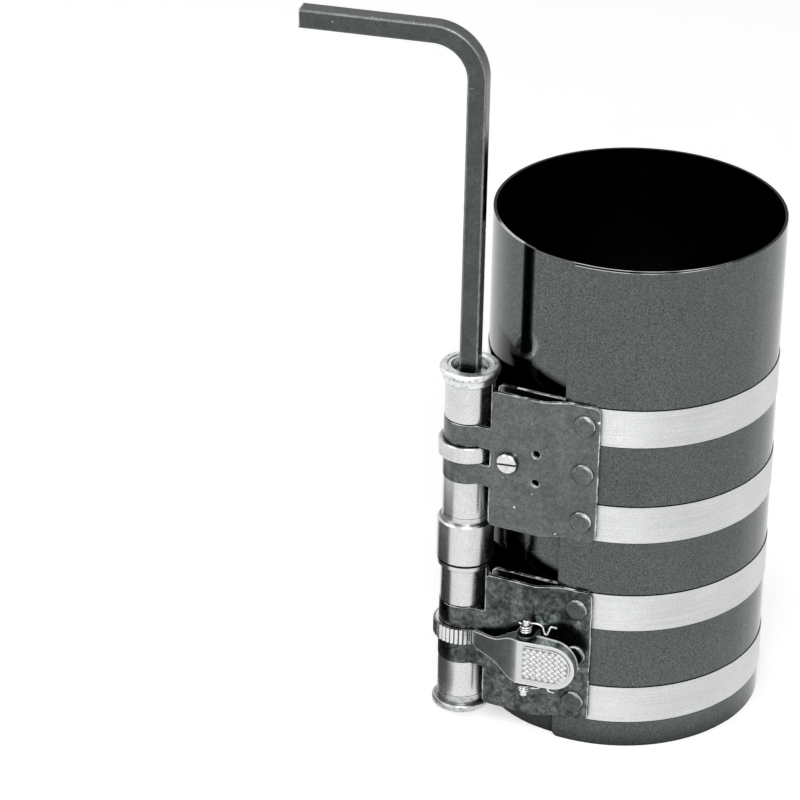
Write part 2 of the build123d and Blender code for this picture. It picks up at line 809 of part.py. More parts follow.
write("wrap_sheet", [wrap_sheet()])
for number, band_z in enumerate(band_heights, 1):
    write(f"tension_band_{number}", [tension_band(band_z)])
    write(f"band_coil_{number}", [band_coil(band_z)])
for level, level_z in (("upper", upper_pair_z), ("lower", lower_pair_z)):
    write(f"{level}_plate", [folded_plate(level_z)])
    write(f"{level}_rivets", plate_rivets(level_z))
write("clamp_screw", [clamp_screw()])
write("clamp_nut", [clamp_nut()])
write("spindle_shaft", [spindle_shaft()])
write("top_flange_bush", [top_flange_bush()])
write("centre_sleeve", [centre_sleeve()])
write("sleeve_washer", [sleeve_washer()])
write("spacer_ring", [spacer_ring()])
write("bottom_end_cap", [bottom_end_cap()])
write("ratchet_wheel", [ratchet_wheel()])
write("release_lever", [release_lever()])
write("lever_bracket", [lever_bracket()])
write("bracket_rivets", bracket_rivets())
write("lever_pivot_pin", [lever_pivot_pin()])
write("lever_springs", lever_springs())
write("square_key", [square_key()])
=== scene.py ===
"""Piston ring compressor: finishes, knurl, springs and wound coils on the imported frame, in a pale studio.
Laid out as an add-on, run as a script. Sizes and places are metres in the frame's own axes."""
import json
from math import cos, pi, radians, sin

import bpy
from mathutils import Matrix, Vector

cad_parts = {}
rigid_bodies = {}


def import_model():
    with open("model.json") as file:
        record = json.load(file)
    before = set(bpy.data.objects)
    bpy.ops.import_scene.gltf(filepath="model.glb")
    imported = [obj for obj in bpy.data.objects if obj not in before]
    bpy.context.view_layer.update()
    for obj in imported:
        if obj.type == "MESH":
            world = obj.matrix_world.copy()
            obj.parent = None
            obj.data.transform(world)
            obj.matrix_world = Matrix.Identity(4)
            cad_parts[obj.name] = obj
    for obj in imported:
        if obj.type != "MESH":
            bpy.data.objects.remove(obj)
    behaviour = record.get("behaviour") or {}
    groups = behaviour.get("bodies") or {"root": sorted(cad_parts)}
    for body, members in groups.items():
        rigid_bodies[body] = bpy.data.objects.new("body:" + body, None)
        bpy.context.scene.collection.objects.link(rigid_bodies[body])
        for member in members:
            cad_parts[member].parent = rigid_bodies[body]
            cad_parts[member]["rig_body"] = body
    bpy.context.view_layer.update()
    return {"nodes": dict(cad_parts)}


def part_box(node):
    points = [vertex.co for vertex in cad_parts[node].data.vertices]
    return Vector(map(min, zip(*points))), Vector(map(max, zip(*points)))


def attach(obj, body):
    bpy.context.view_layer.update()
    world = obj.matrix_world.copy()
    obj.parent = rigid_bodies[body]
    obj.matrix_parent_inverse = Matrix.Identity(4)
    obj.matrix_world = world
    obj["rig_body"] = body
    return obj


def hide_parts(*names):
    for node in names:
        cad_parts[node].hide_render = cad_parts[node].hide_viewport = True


bl_info = {
    "name": "Piston Ring Compressor",
    "version": (1, 0, 0),
    "blender": (4, 5, 0),
    "location": "3D View > Sidebar > Compressor",
    "description": "Dresses a ratcheting piston ring compressor and sets a studio round it",
    "category": "Object",
}

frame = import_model()
nodes = frame["nodes"]

BANDS = range(1, 5)

# Shares of red, green and blue
STEEL_TINT = (0.93, 1.04, 1.0)
BRIGHT_TINT = (0.99, 1.0, 1.0)
SCORED_TINT = (0.98, 1.0, 1.0)
WHITE = (1, 1, 1)

# Worn spots and painted highlights: their roughness, and how much of them still counts as metal
WORN_AND_GLINT_ROUGHNESS = 0.5
WORN_AND_GLINT_METAL = 0.2

# Noise: the scale of the fine speck, and how each long grain is stretched along X, Y and Z
SPECK = 1900.0
RING_STRETCH = (20, 20, 9000)
SCORE_STRETCH = (60, 60, 2400)
ROLLED_STRETCH = (45, 45, 3800)

# The sheet: the radius between its bore side and its outside, its seam, and the line of painted shade beside
# its bands
BORE_SIDE = 0.0452
SEAM_X = -0.0042
SHADE_LINE_WIDTH = 0.00012

# Painted shade between plate and seam: how far it reaches from the seam, its slope, and its height over the
# plate
SHADE_REACH = 0.03
SHADE_SLOPE = 0.3
SHADE_OVER_PLATE = 0.004

# The lever past its crest: where its skirt starts, and the painted highlight line at the skirt's back
SKIRT_START = 0.0013
SKIRT_HIGHLIGHT = 0.0015

# The lever's pad, inwards from its rim: a rolled line painted dark as shade, its width, and the face that the
# knurl is pressed into, painted darker as shade
PAD_LINE_INSET = 0.0013
PAD_LINE_WIDTH = 0.00026
PRESSED_INSET = 0.0021

# Knurl: each diamond's radius as a share of the pitch, and how far in front of the pad its rows start
DIAMOND_SHARE = 0.46
KNURL_STANDOFF = 0.002

# Springs: turns, points to a turn, and a turn's rise and its distance off the pin in wire radii
SPRING_TURNS = 3
TURN_POINTS = 10
TURN_RISE = 2.2
PIN_ROOM = 1.25

# Springs: the heel's length, the leg's depth behind the pad, and the leg's bends, along from the pin and up
HEEL = 0.0012
LEG_DEPTH = 0.0063
LEG = [(0.0045, 0.0), (0.0051, -0.0028), (0.0062, -0.0036), (0.0072, 0.0), (0.0083, 0.0)]

# Camera fitted to the photograph
CAMERA_PLACE = Vector((0.40598, -1.07343, 0.70408))
VIEW = Vector((-0.3652, 0.8051, -0.4673))
LEVEL_RIGHT = Vector((0.9107, 0.4131, 0.0))
LEVEL_UP = Vector((-0.1930, 0.4256, 0.8841))

# Lamps: place, size and power; all face one point
LAMPS = {
    "key_lamp": ((0.55, -1.1, 1.0), (0.7, 0.9), 12),
    "fill_lamp": ((-1.0, -0.9, 0.8), (0.8, 1.0), 7),
    "front_lamp": ((0.3, -1.6, 0.5), (1.0, 0.6), 5),
}
LAMP_AIM = Vector((0, 0, 0.1))
FLOOR_SIZE = 6.0
WORLD_FILL = 0.35
WORLD_SHOWN = 0.8

# Dark card beside the spindle: a foot over the floor and an upright, set back by a share of half its width
CARD_NEAR = 0.016
CARD_GAP = 0.06
CARD_LIFT = 0.0004
CARD_HEIGHT = 0.056
CARD_WIDTH = 0.1
CARD_BACK = 0.3
CARD_TONES = {"foot": 0.08, "middle": 0.01, "top": 0.16}


def middle_of(node):
    """Middle point of a CAD node's box."""
    low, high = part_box(node)
    return (low + high) / 2


def lever_half_height():
    """Half the height of the lever's pad."""
    low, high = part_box("release_lever")
    return (high.z - low.z) / 2


def lever_crest():
    """X of the lever's outermost bend, where the arm meets the pad."""
    return min((vertex.co for vertex in nodes["release_lever"].data.vertices), key=lambda place: place.y).x


def lever_skirt_back():
    """How far back the skirt beside the pad reaches."""
    start = lever_crest() + SKIRT_START
    corners = nodes["release_lever"].data.vertices
    return max(corner.co.y for corner in corners if corner.co.x > start)


# Shader building


class Finish:
    """Adds and links shader nodes in one new material."""

    def __init__(self, name):
        self.material = bpy.data.materials.new(name)
        self.material.use_nodes = True
        self.tree = self.material.node_tree
        self.shader = self.tree.nodes["Principled BSDF"]
        coordinates = self.add("ShaderNodeTexCoord")
        self.place = coordinates.outputs["Object"]
        self.normal = coordinates.outputs["Normal"]

    def add(self, kind, **settings):
        node = self.tree.nodes.new(kind)
        for key, value in settings.items():
            setattr(node, key, value)
        return node

    def put(self, target, value):
        """Set a socket to a number or colour, or link another socket to it."""
        if isinstance(value, bpy.types.NodeSocket):
            self.tree.links.new(value, target)
        else:
            target.default_value = value

    def stretched(self, scale):
        """Object position stretched, for a grain that runs one way."""
        node = self.add("ShaderNodeMapping")
        self.put(node.inputs["Vector"], self.place)
        self.put(node.inputs["Scale"], scale)
        return node.outputs["Vector"]

    def noise(self, scale, detail=2.0, roughness=0.5, vector=None):
        node = self.add("ShaderNodeTexNoise")
        self.put(node.inputs["Vector"], vector or self.place)
        self.put(node.inputs["Scale"], scale)
        self.put(node.inputs["Detail"], detail)
        self.put(node.inputs["Roughness"], roughness)
        return node.outputs[0]

    def math(self, operation, a, b=None, clamp=False):
        node = self.add("ShaderNodeMath", operation=operation, use_clamp=clamp)
        self.put(node.inputs[0], a)
        if b is not None:
            self.put(node.inputs[1], b)
        return node.outputs[0]

    def times(self, product, *factors):
        """Product of any number of values."""
        for factor in factors:
            product = self.math("MULTIPLY", product, factor)
        return product

    def minus(self, whole, part, clamp=False):
        return self.math("SUBTRACT", whole, part, clamp)

    def most(self, a, b):
        return self.math("MAXIMUM", a, b)

    def size_of(self, value):
        """The value without its sign."""
        return self.math("ABSOLUTE", value)

    def dot(self, first, second):
        node = self.add("ShaderNodeVectorMath", operation="DOT_PRODUCT")
        self.put(node.inputs[0], first)
        self.put(node.inputs[1], second)
        return node.outputs["Value"]

    def remap(self, value, low, high, to_low=0.0, to_high=1.0):
        node = self.add("ShaderNodeMapRange")
        self.put(node.inputs["Value"], value)
        for name, number in zip(("From Min", "From Max", "To Min", "To Max"), (low, high, to_low, to_high)):
            self.put(node.inputs[name], number)
        return node.outputs["Result"]

    def vary(self, noise, low, high):
        """Most of a noise's swing, spread from low to high."""
        return self.remap(noise, 0.3, 0.7, low, high)

    def mix(self, factor, first, second):
        node = self.add("ShaderNodeMix", data_type="RGBA")
        self.put(node.inputs["Factor"], factor)
        self.put(node.inputs["A"], first)
        self.put(node.inputs["B"], second)
        return node.outputs["Result"]

    def tinted(self, value, tint=STEEL_TINT):
        """Colour of a brightness, shifted by the tint."""
        colour = self.add("ShaderNodeCombineColor")
        for name, share in zip(("Red", "Green", "Blue"), tint):
            self.put(colour.inputs[name], self.times(value, share))
        return colour.outputs["Color"]

    def parts(self, vector):
        """The X, Y and Z of a vector."""
        node = self.add("ShaderNodeSeparateXYZ")
        self.put(node.inputs["Vector"], vector)
        return node.outputs

    def axes(self):
        """The three coordinates of the object position."""
        return self.parts(self.place)

    def facing(self):
        """The three parts of the surface normal."""
        return self.parts(self.normal)

    def carried(self, kind, vector, start, end):
        """A vector or normal carried between the world's axes and the object's own."""
        node = self.add("ShaderNodeVectorTransform", vector_type=kind, convert_from=start, convert_to=end)
        self.put(node.inputs["Vector"], vector)
        return node.outputs["Vector"]

    def from_axis(self, point):
        """Distance from the upright line through a point."""
        offset = self.add("ShaderNodeVectorMath", operation="SUBTRACT")
        self.put(offset.inputs[0], self.place)
        self.put(offset.inputs[1], point)
        level = self.add("ShaderNodeVectorMath", operation="MULTIPLY")
        self.put(level.inputs[0], offset.outputs["Vector"])
        self.put(level.inputs[1], (1, 1, 0))
        length = self.add("ShaderNodeVectorMath", operation="LENGTH")
        self.put(length.inputs[0], level.outputs["Vector"])
        return length.outputs["Value"]

    def edges(self, radius, below=0.1):
        """1 along edges, below along those that face down, 0 on flats; down-facing edges get only that share,
        as painted shade from light above.
        """
        bevel = self.add("ShaderNodeBevel", samples=6)
        self.put(bevel.inputs["Radius"], radius)
        rounded = bevel.outputs["Normal"]
        flat = self.add("ShaderNodeNewGeometry").outputs["Normal"]
        bend = self.remap(self.dot(rounded, flat), 0.995, 0.93)
        up = self.parts(self.carried("NORMAL", rounded, "WORLD", "OBJECT"))["Z"]
        return self.times(bend, self.remap(up, -0.2, -0.05, below, 1.0))

    def painted_crevice_shade(self, distance, darkest, closed=0.45, free=0.9):
        """Share of light left where other faces stand close, used as painted shade in the colour."""
        hollow = self.add("ShaderNodeAmbientOcclusion", samples=8)
        self.put(hollow.inputs["Distance"], distance)
        return self.remap(hollow.outputs["AO"], closed, free, darkest, 1.0)

    def painted_wall_glint(self, from_x, least):
        """Painted highlight on cut walls that face up and to the right, beyond from_x, least to 1."""
        normal = self.facing()
        slant = self.math("ADD", self.times(normal["Z"], 0.8), self.times(normal["X"], 0.6))
        beyond = self.math("GREATER_THAN", self.axes()["X"], from_x)
        patches = self.remap(self.noise(240.0, 3.0, 0.6), 0.5, 0.58, least, 1.0)
        return self.times(self.remap(slant, 0.36, 0.5), beyond, patches)

    def bright_edges(self, tone, radius, bare=0.95, tint=BRIGHT_TINT):
        """Colour of bright metal, whiter along its edges, partly as wear and partly as a painted highlight.
        """
        return self.mix(self.edges(radius), self.tinted(tone, tint), grey(bare))

    def bump(self, height, strength, distance=0.0001):
        node = self.add("ShaderNodeBump")
        self.put(node.inputs["Strength"], strength)
        self.put(node.inputs["Distance"], distance)
        self.put(node.inputs["Height"], height)
        self.put(self.shader.inputs["Normal"], node.outputs["Normal"])

    def brushed_round(self, spread):
        """Grain round an upright axis, which spreads reflections up and down."""
        upright = self.carried("VECTOR", (0, 0, 1), "OBJECT", "WORLD")
        self.put(self.shader.inputs["Tangent"], upright)
        self.put(self.shader.inputs["Anisotropic"], spread)

    def done(self, colour, roughness, metallic=1.0):
        self.put(self.shader.inputs["Base Color"], colour)
        self.put(self.shader.inputs["Roughness"], roughness)
        self.put(self.shader.inputs["Metallic"], metallic)
        return self.material

    def done_worn_and_glinting(self, tone, roughness, worn, bare):
        """Dark steel that is bare, pale and dull where worn is 1: worn spots, and painted highlights where
        the caller adds them.
        """
        colour = self.mix(worn, self.tinted(tone), grey(bare))
        rough = self.remap(worn, 0.0, 1.0, roughness, WORN_AND_GLINT_ROUGHNESS)
        return self.done(colour, rough, self.remap(worn, 0.0, 1.0, 1.0, WORN_AND_GLINT_METAL))

    def surface(self, shader):
        """Show another shader's output instead of the plain one."""
        self.put(self.tree.nodes["Material Output"].inputs["Surface"], shader.outputs[0])


def grey(value):
    """Neutral colour of a linear brightness, with alpha."""
    return (value, value, value, 1.0)


def dress(names, material):
    """Put one material on the named CAD nodes."""
    for name in names:
        nodes[name].data.materials.clear()
        nodes[name].data.materials.append(material)


# Finishes


def blued_sheet(reflect, roughness):
    """Blued spring steel with a fine speckle, painted shade near the plates and beside each band, a rim
    darkened on its upward faces, and painted highlights on the rim's front.
    """
    n = Finish("blued spring sheet")
    cloud = n.noise(38.0, 3.0, 0.55)
    speck = n.noise(2100.0, 2.0, 0.65)
    rim = n.remap(n.facing()["Z"], 0.7, 0.9)
    tone = n.times(
        n.vary(cloud, reflect * 0.94, reflect * 1.06),
        n.vary(speck, 0.48, 1.54),
        # painted shade where other faces stand close, near the plates and the bush
        n.painted_crevice_shade(0.014, 0.0, 0.35, 0.8),
        # painted shade in a wedge between each plate's top and the seam
        shade_beside_plates(n),
        # the upward faces of the rim are made much darker
        n.remap(rim, 0.0, 1.0, 1.0, 0.12),
    )
    height = n.axes()["Z"]
    # a thin line of painted shade along each band's edges, left off the bore side
    for number in BANDS:
        low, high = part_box(f"tension_band_{number}")
        from_middle = n.size_of(n.minus(height, (low.z + high.z) / 2))
        off_edge = n.size_of(n.minus(from_middle, (high.z - low.z) / 2 + SHADE_LINE_WIDTH))
        unshaded = n.remap(off_edge, SHADE_LINE_WIDTH, 2.6 * SHADE_LINE_WIDTH, 0.04, 1.0)
        tone = n.times(tone, n.most(unshaded, in_bore(n)))
    # painted highlight patches along the front of the rim
    front = n.remap(n.axes()["Y"], -0.02, -0.034)
    rubbed = n.times(rim, front, n.remap(n.noise(30.0, 3.0, 0.7), 0.44, 0.5, 0.1, 1.0))
    n.bump(speck, 0.02)
    return n.done_worn_and_glinting(tone, n.vary(speck, roughness * 0.85, roughness * 1.2), rubbed, 0.9)


def in_bore(n):
    """1 on the sheet's bore side, 0 on its outside."""
    return n.math("LESS_THAN", n.from_axis((0, 0, 0)), BORE_SIDE)


def shade_beside_plates(n):
    """0 in a wedge of painted shade between each plate's top and the sheet's seam, 1 elsewhere."""
    along = n.axes()["X"]
    before_seam = n.remap(along, SEAM_X, SEAM_X + 0.0002, 1.0, 0.0)
    beside_spindle = n.remap(along, SEAM_X - SHADE_REACH, SEAM_X - SHADE_REACH + 0.008)
    slope = n.times(n.minus(SEAM_X, along), SHADE_SLOPE)
    wedge = 0.0
    for plate in ("upper_plate", "lower_plate"):
        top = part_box(plate)[1].z
        rise = n.minus(n.minus(n.axes()["Z"], top + SHADE_OVER_PLATE), slope)
        inside = n.times(n.remap(rise, -0.001, 0.0012, 1.0, 0.0), n.remap(rise, -0.03, -0.025))
        wedge = n.most(inside, wedge)
    outside = n.minus(n.math("LESS_THAN", n.axes()["Y"], 0.0), in_bore(n), clamp=True)
    return n.minus(1.0, n.times(wedge, before_seam, beside_spindle, outside))


def band_steel():
    """Bright cold-rolled strip with a faint lengthwise grain and fine dark pinholes."""
    n = Finish("bright band strip")
    n.brushed_round(0.6)
    grain = n.noise(1.0, 4.0, 0.6, n.stretched(ROLLED_STRETCH))
    speck = n.noise(3300.0, 2.0, 0.7)
    cloud = n.noise(55.0, 3.0, 0.6)
    tone = n.times(
        n.vary(cloud, 0.69, 0.75),
        n.remap(grain, 0.35, 0.65, 0.9, 1.06),
        n.remap(speck, 0.28, 0.7, 0.76, 1.14),
        # painted shade where other faces stand close
        n.painted_crevice_shade(0.003, 0.1),
    )
    n.bump(grain, 0.05)
    return n.done(n.tinted(tone, BRIGHT_TINT), n.vary(speck, 0.34, 0.42))


def oxide_steel(
    name, dark, bare, roughness=0.2, edge=0.0005, wear=0.15, pits=0.0, mottle=0.12, rubbed=0.0, shaded=None
):
    """Dark oxide steel, mottled, with painted shade in its corners, and with edges and specks worn down to
    bare metal.
    Wear is the least that edges show, rubbed the least painted highlight of walls facing up and right; the
    side facing shaded is painted nearly black as shade."""
    n = Finish(name)
    speck = n.noise(SPECK, 3.0, 0.7)
    cloud = n.noise(150.0, 5.0, 0.65)
    blotch = n.noise(520.0, 3.0, 0.7)
    nick = n.noise(330.0, 2.0, 0.5)
    tone = n.times(
        n.vary(speck, dark * 0.66, dark * 1.34),
        n.remap(cloud, 0.4, 0.6, 1.0 - mottle, 1.0 + mottle),
        n.remap(blotch, 0.4, 0.6, 1.0 - mottle, 1.0 + mottle),
        # painted shade where other faces stand close
        n.painted_crevice_shade(0.0035, 0.03, 0.5, 0.92),
    )
    # painted shade: faces turned towards shaded darken nearly to black
    if shaded:
        tone = n.times(tone, n.remap(n.dot(n.normal, shaded), 0.75, 0.95, 1.0, 0.12))
    worn = n.times(n.edges(edge), n.remap(n.noise(260.0, 3.0, 0.6), 0.38, 0.6, wear, 1.0))
    # rubbed sets the least of a painted highlight on cut walls facing up and right
    if rubbed:
        worn = n.most(worn, n.painted_wall_glint(middle_of("clamp_screw").x, rubbed))
    worn = n.most(worn, n.remap(nick, 0.735, 0.76, 0.0, pits))
    n.bump(speck, 0.04)
    return n.done_worn_and_glinting(tone, n.vary(cloud, roughness * 0.85, roughness * 1.2), worn, bare)


def turned_steel(name, bright, roughness=0.26):
    """Bright turned steel with hair-fine rings round the spindle's axis."""
    n = Finish(name)
    n.brushed_round(0.6)
    rings = n.noise(1.0, 3.0, 0.6, n.stretched(RING_STRETCH))
    cloud = n.noise(160.0, 3.0, 0.6)
    speck = n.noise(SPECK, 2.0, 0.6)
    tone = n.times(
        # painted shade where other faces stand close
        n.vary(cloud, bright * 0.94, bright * 1.05), n.vary(speck, 0.85, 1.1), n.painted_crevice_shade(0.0022, 0.08)
    )
    n.bump(rings, 0.012, 0.00005)
    return n.done(n.bright_edges(tone, 0.0003), n.vary(rings, roughness * 0.85, roughness * 1.2))


def wheel_steel(bright, roughness=0.25):
    """Cut ratchet wheel: bright tooth tops over grooves painted dark as shade."""
    n = Finish("cut ratchet steel")
    low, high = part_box("ratchet_wheel")
    radius = (high.x - low.x) / 2
    out = n.from_axis((low + high) / 2)
    # painted shade: a dark ring down in the grooves between the teeth
    top = n.remap(out, radius - 0.00044, radius - 0.00034, 0.05, 1.0)
    top = n.most(top, n.math("LESS_THAN", out, radius - 0.0007))
    speck = n.noise(SPECK, 2.0, 0.6)
    tone = n.times(n.vary(speck, bright * 0.85, bright * 1.1), top)
    n.bump(speck, 0.05)
    return n.done(n.tinted(tone, BRIGHT_TINT), n.vary(speck, roughness * 0.85, roughness * 1.2))


def scored_steel(name, bright, roughness):
    """Turned steel dulled by handling, with scored rings and dark stains."""
    n = Finish(name)
    rings = n.noise(1.0, 5.0, 0.7, n.stretched(SCORE_STRETCH))
    stain = n.noise(900.0, 4.0, 0.75)
    tone = n.times(
        # painted shade where other faces stand close
        n.remap(stain, 0.34, 0.47, bright * 0.3, bright), n.vary(rings, 0.88, 1.1), n.painted_crevice_shade(0.0022, 0.1)
    )
    n.bump(stain, 0.1)
    colour = n.bright_edges(tone, 0.00035, tint=SCORED_TINT)
    return n.done(colour, n.vary(stain, roughness * 0.8, roughness * 1.3))


def plated_steel(name, bright=0.8, roughness=0.22):
    """Bright plated steel of springs, pin, screw and nut, with painted shade in slots and between turns."""
    n = Finish(name)
    cloud = n.noise(420.0, 3.0, 0.6)
    speck = n.noise(SPECK, 2.0, 0.6)
    tone = n.times(
        n.vary(cloud, bright * 0.85, bright * 1.12),
        n.vary(speck, 0.93, 1.05),
        # painted shade in slots and between turns
        n.painted_crevice_shade(0.0012, 0.0, 0.5, 0.85),
    )
    n.bump(speck, 0.06)
    return n.done(n.bright_edges(tone, 0.0002, bare=0.9), n.vary(cloud, roughness * 0.8, roughness * 1.25))


def pad_distance(n, half):
    """Distance from the spine of the pad's rounded outline, in the plane of its face."""
    low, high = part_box("release_lever")
    past_end = n.most(n.minus(n.axes()["X"], high.x - half), 0.0)
    off_middle = n.minus(n.axes()["Z"], (low.z + high.z) / 2)
    return n.math("SQRT", n.math("ADD", n.times(past_end, past_end), n.times(off_middle, off_middle)))


def pad_steel(n, bright, half, speck, cloud):
    """Tone of the pad's face: a rolled line inside its upper rim painted dark as shade, and painted shade on
    the face under the knurl.
    """
    along, height = n.axes()["X"], n.axes()["Z"]
    crest = lever_crest()
    middle = middle_of("release_lever").z
    spine = pad_distance(n, half)
    # a rolled line painted dark as shade, strongest towards the top
    line = n.times(
        n.remap(n.size_of(n.minus(spine, half - PAD_LINE_INSET)), 0.0001, PAD_LINE_WIDTH, 0.85, 0.0),
        n.remap(cloud, 0.42, 0.5, 0.2, 1.0),
        n.remap(along, crest + 0.001, crest + 0.002),
        n.remap(height, middle - 0.4 * half, middle + 0.3 * half, 0.15, 1.0),
    )
    # painted shade on the pressed face between the knurl's diamonds
    inside = n.remap(spine, half - PRESSED_INSET, half - PRESSED_INSET + 0.0003, 1.0, 0.0)
    pressed = n.times(inside, n.remap(along, crest + 0.0016, crest + 0.0022))
    face = n.vary(speck, bright * 0.93, bright * 1.05)
    return n.times(face, n.minus(1.0, line), n.minus(1.0, n.times(pressed, 0.55)))


def skirt_highlight(n):
    """Painted highlight, 1 along the back edge of the lever's skirt where it faces up or to the right."""
    normal = n.facing()
    outward = n.remap(n.most(normal["Z"], normal["X"]), 0.15, 0.4)
    back = lever_skirt_back() - SKIRT_HIGHLIGHT
    return n.times(n.remap(n.axes()["Y"], back, back + 0.0004), outward, n.remap(normal["Z"], -0.4, -0.1))


def lever_steel(arm_tone, pad_tone, skirt_tone):
    """Pressed lever: dull grey arm and skirt, bright rubbed pad, edges whitened by wear and painted
    highlight, and a painted highlight before the arm's bend and along the skirt's back.
    """
    n = Finish("pressed lever")
    crest = lever_crest()
    speck = n.noise(SPECK, 2.0, 0.6)
    cloud = n.noise(230.0, 3.0, 0.6)
    along = n.axes()["X"]
    on_pad = n.remap(along, crest - 0.0016, crest + 0.0006)
    front = n.times(n.remap(n.facing()["Y"], -0.55, -0.85), on_pad)
    sides = n.times(
        n.vary(speck, arm_tone * 0.8, arm_tone * 1.2),
        n.vary(cloud, 0.85, 1.15),
        # the arm painted lighter towards its bend, a painted highlight
        n.remap(along, crest - 0.006, crest - 0.0016, 1.0, 1.25),
        n.remap(along, crest - 0.003, crest, 1.0, skirt_tone / arm_tone),
    )
    pad = pad_steel(n, pad_tone, lever_half_height(), speck, cloud)
    # edges whitened by wear and painted highlight, and the painted highlight along the skirt's back
    rim = n.most(n.edges(0.0006, below=0.8), n.times(skirt_highlight(n), on_pad))
    colour = n.mix(front, n.tinted(sides), n.tinted(pad, BRIGHT_TINT))
    colour = n.mix(rim, colour, grey(0.95))
    n.bump(speck, 0.05)
    smooth = n.remap(on_pad, 0.0, 1.0, 0.55, n.vary(cloud, 0.24, 0.34))
    return n.done(colour, smooth, n.remap(rim, 0.0, 1.0, 1.0, 0.4))


# Camera and stage


def photo_camera(lens, roll):
    """Camera at the photograph's place and angle."""
    data = bpy.data.cameras.new("photo_camera")
    data.lens = lens
    data.clip_end = 20
    right = LEVEL_RIGHT * cos(roll) + LEVEL_UP * sin(roll)
    up = LEVEL_UP * cos(roll) - LEVEL_RIGHT * sin(roll)
    camera = bpy.data.objects.new("photo_camera", data)
    turn = Matrix((right, up, -VIEW)).transposed().to_4x4()
    camera.matrix_world = Matrix.Translation(CAMERA_PLACE) @ turn
    bpy.context.scene.collection.objects.link(camera)
    bpy.context.scene.camera = camera


def area_light(name, place, size, power):
    """Soft rectangular lamp at a place, turned to the object."""
    data = bpy.data.lights.new(name, "AREA")
    data.shape = "RECTANGLE"
    data.size, data.size_y = size
    data.energy = power
    lamp = bpy.data.objects.new(name, data)
    lamp.location = place
    lamp.rotation_euler = (LAMP_AIM - Vector(place)).to_track_quat("-Z", "Y").to_euler()
    bpy.context.scene.collection.objects.link(lamp)


def pale_floor(tone, lift):
    """Floor that keeps its shadow, is white to the camera and shows white in metal and glass."""
    bpy.ops.mesh.primitive_plane_add(size=FLOOR_SIZE)
    floor = bpy.context.object
    floor.name = "floor"
    n = Finish("pale floor")
    grain = n.noise(30.0, 3.0, 0.6)
    n.done(n.tinted(n.vary(grain, tone * 0.99, tone * 1.01), WHITE), 0.9, 0.0)
    path = n.add("ShaderNodeLightPath").outputs
    lifted = n.add("ShaderNodeEmission")
    n.put(lifted.inputs["Strength"], n.times(path["Is Camera Ray"], lift))
    both = n.add("ShaderNodeAddShader")
    n.put(both.inputs[0], n.shader.outputs[0])
    n.put(both.inputs[1], lifted.outputs[0])
    mirrored = n.add("ShaderNodeMixShader")
    n.put(mirrored.inputs["Fac"], n.most(path["Is Glossy Ray"], path["Is Transmission Ray"]))
    n.put(mirrored.inputs[1], both.outputs[0])
    n.put(mirrored.inputs[2], n.add("ShaderNodeEmission").outputs[0])
    n.surface(mirrored)
    floor.data.materials.append(n.material)


def white_world():
    """World that is near white to the camera and in metal, and a soft fill elsewhere."""
    world = bpy.data.worlds.new("studio")
    bpy.context.scene.world = world
    world.use_nodes = True
    tree = world.node_tree
    soft = tree.nodes["Background"]
    soft.inputs["Color"].default_value = grey(1.0)
    soft.inputs["Strength"].default_value = WORLD_FILL
    shown = tree.nodes.new("ShaderNodeBackground")
    shown.inputs["Color"].default_value = grey(WORLD_SHOWN)
    rays = tree.nodes.new("ShaderNodeLightPath")
    below = soft
    for output in ("Is Glossy Ray", "Is Transmission Ray", "Is Camera Ray"):
        mixer = tree.nodes.new("ShaderNodeMixShader")
        tree.links.new(rays.outputs[output], mixer.inputs["Fac"])
        tree.links.new(below.outputs[0], mixer.inputs[1])
        tree.links.new(shown.outputs[0], mixer.inputs[2])
        below = mixer
    tree.links.new(below.outputs[0], tree.nodes["World Output"].inputs["Surface"])


def dark_card(foot, left):
    """Grey card that only reflections see, standing on the floor beside the turned pieces."""
    across = Vector((left.y, -left.x, 0)) * CARD_WIDTH / 2
    middle = foot + across * CARD_BACK
    profile = [(CARD_NEAR, CARD_LIFT), (CARD_GAP, CARD_LIFT), (CARD_GAP, CARD_HEIGHT)]
    corners = []
    for out, height in profile:
        place = middle + left * out + Vector((0, 0, height))
        corners += [place - across, place + across]
    mesh = bpy.data.meshes.new("dark_card")
    mesh.from_pydata(corners, [], [(0, 1, 3, 2), (2, 3, 5, 4)])
    card = bpy.data.objects.new("dark_card", mesh)
    bpy.context.scene.collection.objects.link(card)
    n = Finish("dark card")
    up = n.axes()["Z"]
    low_part = n.remap(up, 0.0005, 0.004, CARD_TONES["foot"], CARD_TONES["middle"])
    high_part = n.remap(up, 0.02, CARD_HEIGHT, CARD_TONES["middle"], CARD_TONES["top"])
    sideways = across.normalized()
    from_middle = n.size_of(n.minus(n.dot(n.place, sideways), middle.dot(sideways)))
    ends = n.remap(from_middle, CARD_WIDTH * 0.4, CARD_WIDTH * 0.5)
    glow = n.add("ShaderNodeEmission")
    n.put(glow.inputs["Color"], n.tinted(n.most(n.most(low_part, high_part), ends), WHITE))
    n.surface(glow)
    mesh.materials.append(n.material)
    card.visible_camera = False
    card.visible_diffuse = False
    card.visible_shadow = False


# Pieces made here


